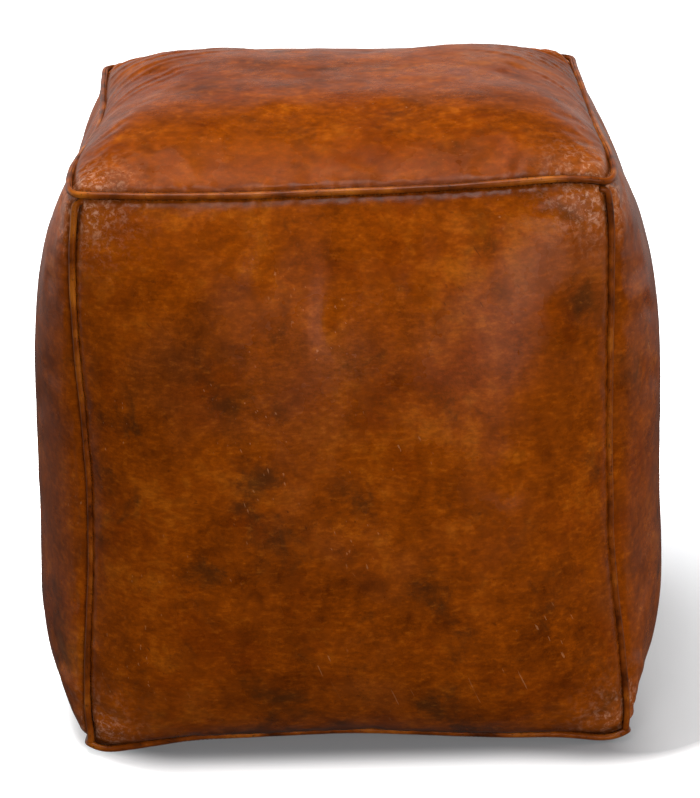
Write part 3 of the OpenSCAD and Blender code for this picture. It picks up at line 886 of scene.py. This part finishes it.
def piping_goatskin(t, place):
    """The same goatskin skived thin and pulled round a cord: darker, creased across its length."""
    tone = add(t, "TexNoise", Vector=place, Scale=38, Detail=5, Roughness=0.6)
    fine = add(t, "TexNoise", Vector=place, Scale=420, Detail=3)
    skin = add(t, "ValToRGB", tone, stops=((0.32, "#3c1602"), (0.5, colours().piping),
                                           (0.68, "#9c5512")))
    # Hair cracks about 2 mm apart where the leather bends
    cracks = add(t, "times", add(t, "remap", fine, 0.60, 0.70), 0.7)
    height = add(t, "plus", add(t, "times", tone, 0.5), add(t, "times", fine, 0.6))
    return add(t, "BsdfPrincipled", Roughness=0.34, IOR=1.5, Coat_Weight=0.2, Coat_Roughness=0.2,
               Base_Color=add(t, "mix", cracks, skin, "#2a0f05"),
               Normal=add(t, "Bump", Strength=0.5, Distance=0.4 * MM, Height=height))


def plain_weave(t, place, dark, pale, pitch, rough, depth, sheen):
    """A plain weave of threads pitch apart, for tape, bag and cord."""
    per_metre = 2 * math.pi / (20 * pitch)
    warp, weft = [add(t, "TexWave", out="Fac", bands_direction=way, Vector=place, Scale=per_metre,
                      Distortion=0.6, Detail=1) for way in "XY"]
    cloth = add(t, "times", warp, weft)
    slub = add(t, "TexNoise", Vector=place, Scale=60, Detail=5)
    tone = add(t, "plus", add(t, "times", cloth, 0.6), add(t, "times", slub, 0.5))
    return add(t, "BsdfPrincipled", Roughness=rough, Sheen_Weight=sheen,
               Base_Color=add(t, "ValToRGB", tone, stops=((0.2, dark), (0.8, pale))),
               Normal=add(t, "Bump", Strength=0.6, Distance=depth, Height=cloth))


# The woven finishes as (dark, pale, thread pitch, roughness, depth, sheen)
WEAVES = {
    # Soft-laid cotton cord: matt, off-white, ridged every 2 mm
    "twisted cotton": ("#b9a98a", "#e6dcc4", 2 * MM, 0.85, 0.3 * MM, 0.3),
    # Plain calico, drawn at 1.2 mm so that it shows: matt and unbleached
    "unbleached calico": ("#bfae8c", "#eae0c8", 1.2 * MM, 0.9, 0.2 * MM, 0.2),
    # Dyed polyester tape: fine twill with a slight sheen
    "polyester zip tape": ("#1c0f0a", "#3a2318", 0.8 * MM, 0.7, 0.15 * MM, 0.2),
}


def woven(name):
    return painted(name, plain_weave, *WEAVES[name])


def thread():
    return painted("waxed linen thread", waxed_thread)


def brass():
    return painted("antique brass", antique_brass)


def waxed_thread(t, place):
    """Waxed linen sewing thread, darkened by the dye: satin, finely twisted."""
    twist = add(t, "TexWave", out="Fac", Vector=place, Scale=120, Distortion=2)
    return add(t, "BsdfPrincipled", Roughness=0.5,
               Base_Color=add(t, "ValToRGB", twist, stops=((0.2, "#2b1206"),
                                                           (0.8, colours().thread))),
               Normal=add(t, "Bump", Strength=0.5, Distance=0.1 * MM, Height=twist))


def coil_nylon(t, place):
    """Moulded nylon monofilament: dark brown, slightly translucent gloss."""
    tone = add(t, "TexNoise", Vector=place, Scale=90, Detail=3)
    return add(t, "BsdfPrincipled", Roughness=0.35, IOR=1.53,
               Base_Color=add(t, "ValToRGB", tone, stops=((0.3, "#1d100a"), (0.7, "#3b251a"))),
               Normal=add(t, "Bump", Strength=0.2, Distance=0.1 * MM, Height=tone))


def antique_brass(t, place):
    """Tumbled, antiqued brass: brown in the hollows, polished on the high spots."""
    tarnish = add(t, "TexNoise", Vector=place, Scale=260, Detail=6, Roughness=0.65)
    return add(t, "BsdfPrincipled", Metallic=1,
               Base_Color=add(t, "ValToRGB", tarnish, stops=((0.35, "#4a3517"),
                                                             (0.6, colours().brass))),
               Roughness=add(t, "remap", tarnish, 0.3, 0.7, 0.5, 0.25),
               Normal=add(t, "Bump", Strength=0.25, Distance=0.1 * MM, Height=tarnish))


def carded_fibre(t, place):
    """Carded cotton and foam crumb: matt, off-white, tangled fibres of a few millimetres."""
    lumps = add(t, "TexNoise", Vector=place, Scale=70, Detail=8, Roughness=0.7, Distortion=2.5)
    return add(t, "BsdfPrincipled", Roughness=0.95, Sheen_Weight=0.4,
               Base_Color=add(t, "ValToRGB", lumps, stops=((0.3, "#c9c2b2"), (0.7, "#f3efe4"))),
               Normal=add(t, "Bump", Strength=0.8, Distance=2 * MM, Height=lumps))


def board_with_painted_light_and_shadow(t, place):
    """White studio board: matt, with painted light that glows stronger away from the pouf and a grey
    painted shadow under it and at its right.
    """
    shifted = add(t, "VectorMath", place, (0.02, 0, 0), operation="SUBTRACT")
    spread = add(t, "VectorMath", shifted, operation="ABSOLUTE")
    spread = add(t, "VectorMath", spread, (0.15, 0.15, 1), operation="SUBTRACT")
    spread = add(t, "VectorMath", spread, (0, 0, 0), operation="MAXIMUM")
    gap = add(t, "VectorMath", spread, operation="LENGTH")
    # A soft painted shadow is left under the pouf and at its right
    right, back, _ = add(t, "SeparateXYZ", place).node.outputs
    beside = add(t, "times", add(t, "remap", right, 0.10, 0.27, 0, 0.06),
                 add(t, "remap", back, -0.30, -0.12))
    gap = add(t, "minus", gap, beside)
    painted_floor_light = add(t, "larger", add(t, "remap", gap, 0.054, 0.115, 0.07, 1),
               add(t, "remap", right, 0.17, 0.25, 0, 0.36))
    # Emission is painted light; the grey base colour where it is low is a painted shadow
    return add(t, "BsdfPrincipled", Roughness=0.9, Emission_Color=(1, 1, 1, 1),
               Emission_Strength=painted_floor_light, Base_Color=add(t, "mix", painted_floor_light, "#989a9e", "#f7f7f7"))


# ---------------------------------------------------------------- the seams of this pouf

def seam_net():
    """The base loop, the top loop and the four corner seams."""
    base, top = seam_loop("base"), seam_loop("top")
    return base, top, [corner_seam(k, base, top) for k in range(4)]


def groove(seam, outward, reach):
    """A seam's line moved out of the piping and onto a panel."""
    return seam + np.array(outward, float) * reach


def box_piece(name, low, high, bevel):
    """A block between two corners, its edges rounded."""
    clear_selection()
    low, high = Vector(low), Vector(high)
    bpy.ops.mesh.primitive_cube_add(size=1, location=(low + high) / 2, scale=high - low)
    bpy.ops.object.transform_apply(location=True, rotation=False, scale=True)
    obj = bpy.context.object
    obj.name = obj.data.name = name
    round_edges(obj, bevel)
    return obj


def round_edges(obj, width, segments=2):
    m = obj.modifiers.new("Round", "BEVEL")
    m.width = width
    m.segments = segments
    m.angle_limit = math.radians(35)
    apply_modifiers(obj)
    activate(obj)
    bpy.ops.object.shade_smooth_by_angle(angle=math.radians(40))


def stuffed_form(name, inset, cuts):
    """A crowned cube that fits inside the cover, inset from its outer face."""
    clear_selection()
    bpy.ops.mesh.primitive_cube_add(size=2)
    obj = bpy.context.object
    obj.name = obj.data.name = name
    bpy.ops.object.mode_set(mode="EDIT")
    bpy.ops.mesh.select_all(action="SELECT")
    bpy.ops.mesh.subdivide(number_cuts=cuts)
    bpy.ops.object.mode_set(mode="OBJECT")
    lower, upper = BASE_BOX[1].x - 3 * MM - inset, TOP_BOX[1].x - 3 * MM - inset
    bottom, peak = BASE_BOX[1].z + 4 * MM + inset, TOP_BOX[1].z - 4 * MM - inset
    side, dome = sizes().swell - 4 * MM, sizes().dome - 3 * MM
    for v in obj.data.vertices:
        x, y, z = v.co
        t = (z + 1) / 2
        half = lower + (upper - lower) * t - 5 * MM * (1 - z * z)
        rise = 2 * t ** 0.8 - 1
        grow = side * (1 - abs(rise) ** 3)
        v.co = (half * x + grow * x * (1 - abs(y) ** 3.8), half * y + grow * y * (1 - abs(x) ** 3.8),
                bottom + (peak - bottom) * t
                + (dome if z > 0 else 9 * MM) * z * (1 - abs(x) ** 4.6) * (1 - abs(y) ** 4.6))
    return obj


# ---------------------------------------------------------------- zip pieces

def zip_tape(sign):
    """A woven tape: a thin strip with a thicker woven edge beside the coil."""
    node = "zip_tape_front" if sign < 0 else "zip_tape_rear"
    low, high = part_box(node)
    tape = box_piece(node, low, high, 0.2 * MM)
    edge_y = (high.y - 0.5 * MM) if sign < 0 else (low.y + 0.5 * MM)
    bead = tube("bead", np.array([(low.x + 1 * MM, edge_y, (low.z + high.z) / 2),
                                  (high.x - 1 * MM, edge_y, (low.z + high.z) / 2)]), 0.45 * MM)
    install(join(node, [tape, bead]), woven("polyester zip tape"), "cover", "zip_tape", node)


def zip_coil(sign):
    """Nylon coil: flattened turns a pitch apart; the two halves mesh half a pitch out."""
    node = "zip_coil_front" if sign < 0 else "zip_coil_rear"
    low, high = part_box(node)
    pitch, wire = 1.5 * MM, 0.32 * MM
    centre = (low + high) / 2
    width, height = (high - low).y, (high - low).z
    clear_selection()
    bpy.ops.mesh.primitive_torus_add(major_radius=1, minor_radius=0.2, major_segments=14,
                                     minor_segments=6, rotation=(0, math.pi / 2, 0))
    bpy.ops.object.transform_apply(location=False, rotation=True, scale=False)
    turn = bpy.context.object
    bpy.ops.object.mode_set(mode="EDIT")
    reach = (0.5 * width + 0.3 * MM) / 1.2
    bpy.ops.transform.resize(value=(wire / 0.2, reach, 0.5 * height / 1.2))
    start = low.x + (1 if sign < 0 else 1.75) * MM
    bpy.ops.transform.translate(value=(start, centre.y - 0.25 * MM * sign, centre.z))
    bpy.ops.object.mode_set(mode="OBJECT")
    repeat = turn.modifiers.new("Repeat", "ARRAY")
    repeat.count = int((high.x - start - 1 * MM) / pitch)
    repeat.use_relative_offset = False
    repeat.use_constant_offset = True
    repeat.constant_offset_displace = (pitch, 0, 0)
    apply_modifiers(turn)
    cord = tube("core", np.array([(low.x + 0.4 * MM, centre.y, centre.z),
                                  (high.x - 0.4 * MM, centre.y, centre.z)]), 0.55 * MM)
    install(join(node, [turn, cord]), painted("nylon coil", coil_nylon), "cover", "zip_coil", node)


def zip_stops():
    """Crimped metal stops at both ends of the chain."""
    low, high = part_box("zip_top_stops")
    gap = 0.75 * MM
    pair = [box_piece("stop", (low.x, a, low.z), (high.x, b, high.z), 0.4 * MM)
            for a, b in ((low.y, -gap), (gap, high.y))]
    install(join("zip_top_stops", pair), brass(), "cover", "zip_metal", "zip_top_stops")
    low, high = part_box("zip_bottom_stop")
    crimp = box_piece("zip_bottom_stop", low, high, 0.5 * MM)
    install(crimp, brass(), "cover", "zip_metal", "zip_bottom_stop")


def zip_metal_finish():
    """The slider and its pull keep their working shapes and are finished in brass."""
    for name in ("zip_slider", "zip_pull"):
        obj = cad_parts[name]
        obj.data.materials.clear()
        obj.data.materials.append(brass())


# ---------------------------------------------------------------- operators

class POUF_OT_stage(bpy.types.Operator):
    """Lay the pale floor, hang the soft lights and set the camera"""
    bl_idname = "pouf.stage"
    bl_label = "Stage"

    def execute(self, context):
        scene = context.scene
        clear_selection()
        bpy.ops.mesh.primitive_plane_add(size=14)
        floor = context.object
        floor.name = "studio_floor"
        floor.data.materials.append(painted("white board with painted light and shadow", board_with_painted_light_and_shadow))
        scene.world = studio_world()
        for lamp in LAMPS:
            add_light(*lamp)
        floor.visible_glossy = floor.visible_diffuse = False
        scene.view_settings.view_transform = "Standard"
        camera = bpy.data.objects.new("camera", bpy.data.cameras.new("camera"))
        scene.collection.objects.link(camera)
        target = Vector((2.7 * MM, 0, 210.4 * MM))
        tilt = math.radians(19.62)
        camera.location = target + 2.51 * Vector((0, -math.cos(tilt), math.sin(tilt)))
        turn = (target - camera.location).to_track_quat("-Z", "Y")
        camera.rotation_euler = (turn.to_matrix()
                                 @ Matrix.Rotation(math.radians(-1.37), 3, "Z")).to_euler()
        camera.data.lens = 140.8
        camera.data.sensor_width = 36
        scene.camera = camera
        return {"FINISHED"}


# Soft boxes as (name, place, aimed at, width, watts, seen in the gloss)
LAMPS = (
    ("overhead", (-0.35, 0.45, 2.3), (0, 0, 0.2), 1.2, 83, False),
    ("front fill", (1.0, -2.8, 0.75), (0, 0, 0.22), 1.5, 69, False),
    ("left fill", (-2.6, -0.5, 1.0), (0, 0, 0.22), 1.4, 24, False),
    ("right fill", (2.6, -0.5, 1.0), (0, 0, 0.22), 1.4, 15, False),
    ("edge light", (-0.1, -0.9, 2.6), (0, 0, 0.4), 0.8, 8, True),
)


def studio_world():
    """A pale wall low behind the pouf and dark all round, so that leather gleams only there."""
    world = bpy.data.worlds.new("studio")
    world.use_nodes = True
    t = world.node_tree
    _, back, up = add(t, "SeparateXYZ", add(t, "TexCoord")).node.outputs
    low = add(t, "times", add(t, "remap", up, 0.37, 0.29, 0, 0.38),
              add(t, "remap", up, -0.34, -0.16, 0.12, 1))
    wall = add(t, "times", low, add(t, "remap", back, -0.15, 0.35))
    t.links.new(add(t, "plus", wall, 0.025), t.nodes["Background"].inputs["Color"])
    return world


def add_light(name, place, target, size, power, in_gloss):
    light = bpy.data.lights.new(name, "AREA")
    light.shape = "DISK"
    light.size = size
    light.energy = power
    obj = bpy.data.objects.new(name, light)
    bpy.context.scene.collection.objects.link(obj)
    obj.visible_glossy = in_gloss
    obj.location = place
    obj.rotation_euler = (Vector(target) - Vector(place)).to_track_quat("-Z", "Y").to_euler()


class POUF_OT_top_panel(bpy.types.Operator):
    """Sew and stuff the domed top"""
    bl_idname = "pouf.top_panel"
    bl_label = "Top Panel"

    def execute(self, context):
        top_panel(seam_net()[1])
        return {"FINISHED"}


class POUF_OT_side_panels(bpy.types.Operator):
    """Sew and stuff the four bulging sides"""
    bl_idname = "pouf.side_panels"
    bl_label = "Side Panels"

    def execute(self, context):
        base, top, posts = seam_net()
        for k in range(4):
            side_panel(k, base, top, posts)
        return {"FINISHED"}


class POUF_OT_base_panels(bpy.types.Operator):
    """Lay the two halves of the base, open along the zip"""
    bl_idname = "pouf.base_panels"
    bl_label = "Base Panels"

    def execute(self, context):
        base = seam_net()[0]
        for sign in (-1, 1):
            base_half(sign, base)
        return {"FINISHED"}


class POUF_OT_piping(bpy.types.Operator):
    """Run the leather piping round the top, the base and up the corners"""
    bl_idname = "pouf.piping"
    bl_label = "Piping"

    def execute(self, context):
        base, top, posts = seam_net()
        piping("top_piping", top, True, 0.5, 5)
        piping("base_piping", base, True, 0.1, 6)
        for k, corner in enumerate(CORNERS):
            piping(f"corner_piping_{corner}", corner_path(k, posts[k]), False, 0.0, 7 + k)
        return {"FINISHED"}


class POUF_OT_seam_threads(bpy.types.Operator):
    """Stitch both sides of every piped seam"""
    bl_idname = "pouf.seam_threads"
    bl_label = "Seam Threads"

    def execute(self, context):
        base, top, posts = seam_net()
        loops = {"top": (top, (0, 0, 1)), "base": (base, (0, 0, -1))}
        for level, (loop, away) in loops.items():
            rows = [stitch_row(even(groove(loop, away, 2.9 * MM), 4 * MM, True), True)]
            sides = []
            for k in range(4):
                edge = side_of(loop, k)[8:-8]
                beside = OUTWARD[k] * 0.7 - np.array(away)
                sides.append(stitch_row(even(groove(edge, beside, 2.4 * MM), 4 * MM)))
            row = join(f"{level}_stitches", rows + sides)
            install(row, thread(), "cover", "seam_thread", f"{level}_seam_thread")
        posts_rows = []
        for k, post in enumerate(posts):
            run = post[10:-14]
            for side in (k, (k + 3) % 4):
                inward = -OUTWARD[(k + 3) % 4 if side == k else k]
                beside = OUTWARD[side] * 0.6 + inward
                posts_rows.append(stitch_row(even(groove(run, beside, 2.6 * MM), 4 * MM)))
        install(join("corner_stitches", posts_rows), thread(), "cover", "seam_thread",
                "corner_seam_threads")
        return {"FINISHED"}


class POUF_OT_zip(bpy.types.Operator):
    """Fit the zip in the base"""
    bl_idname = "pouf.zip"
    bl_label = "Base Zip"

    def execute(self, context):
        for sign in (-1, 1):
            zip_tape(sign)
            zip_coil(sign)
        zip_stops()
        zip_metal_finish()
        return {"FINISHED"}


class POUF_OT_filling(bpy.types.Operator):
    """Fill the calico bag and put it inside the cover"""
    bl_idname = "pouf.filling"
    bl_label = "Bag and Filling"

    def execute(self, context):
        bag = stuffed_form("inner_bag", 6 * MM, 30)
        bpy.ops.object.mode_set(mode="EDIT")
        edit = bmesh.from_edit_mesh(bag.data)
        low = min(v.co.z for v in edit.verts)
        centres = [(f, f.calc_center_median()) for f in edit.faces]
        slit = [f for f, centre in centres if abs(centre.x) < BAG_SLIT[0]
                and abs(centre.y) < BAG_SLIT[1] and centre.z < low + 12 * MM]
        bmesh.ops.delete(edit, geom=slit, context="FACES")
        bmesh.update_edit_mesh(bag.data)
        bpy.ops.object.mode_set(mode="OBJECT")
        solid = bag.modifiers.new("Cotton", "SOLIDIFY")
        solid.thickness = 1 * MM
        solid.offset = -1
        apply_modifiers(bag)
        smooth(bag)
        install(bag, woven("unbleached calico"), "cover", "bag_cotton", "inner_bag")
        fill = stuffed_form("filling", 9 * MM, 36)
        for v in fill.data.vertices:
            v.co *= 1 - 0.008 * (1 + noise.fractal(v.co * 40, 1.0, 2.0, 4))
        smooth(fill)
        install(fill, painted("carded fibre", carded_fibre), "cover", "filling_fibre", "filling")
        return {"FINISHED"}


OPERATORS = (POUF_OT_stage, POUF_OT_top_panel, POUF_OT_side_panels, POUF_OT_base_panels,
             POUF_OT_piping, POUF_OT_seam_threads, POUF_OT_zip, POUF_OT_filling)


class POUF_PT_sidebar(bpy.types.Panel):
    """Lists the steps that build the pouf"""
    bl_idname = "POUF_PT_sidebar"
    bl_label = "Leather Pouf"
    bl_space_type = "VIEW_3D"
    bl_region_type = "UI"
    bl_category = "Pouf"

    def draw(self, context):
        for group in (context.scene.pouf_sizes, context.scene.pouf_colours):
            for name in group.__annotations__:
                self.layout.prop(group, name)
        for operator in OPERATORS:
            self.layout.operator(operator.bl_idname)


CLASSES = (PoufSizes, PoufColours, *OPERATORS, POUF_PT_sidebar)


def register():
    for cls in CLASSES:
        bpy.utils.register_class(cls)
    bpy.types.Scene.pouf_sizes = PointerProperty(type=PoufSizes)
    bpy.types.Scene.pouf_colours = PointerProperty(type=PoufColours)


def unregister():
    del bpy.types.Scene.pouf_colours
    del bpy.types.Scene.pouf_sizes
    for cls in reversed(CLASSES):
        bpy.utils.unregister_class(cls)


def main():
    register()
    bpy.ops.pouf.stage()
    bpy.ops.pouf.top_panel()
    bpy.ops.pouf.side_panels()
    bpy.ops.pouf.base_panels()
    bpy.ops.pouf.piping()
    bpy.ops.pouf.seam_threads()
    bpy.ops.pouf.zip()
    bpy.ops.pouf.filling()


if __name__ == "__main__":
    main()
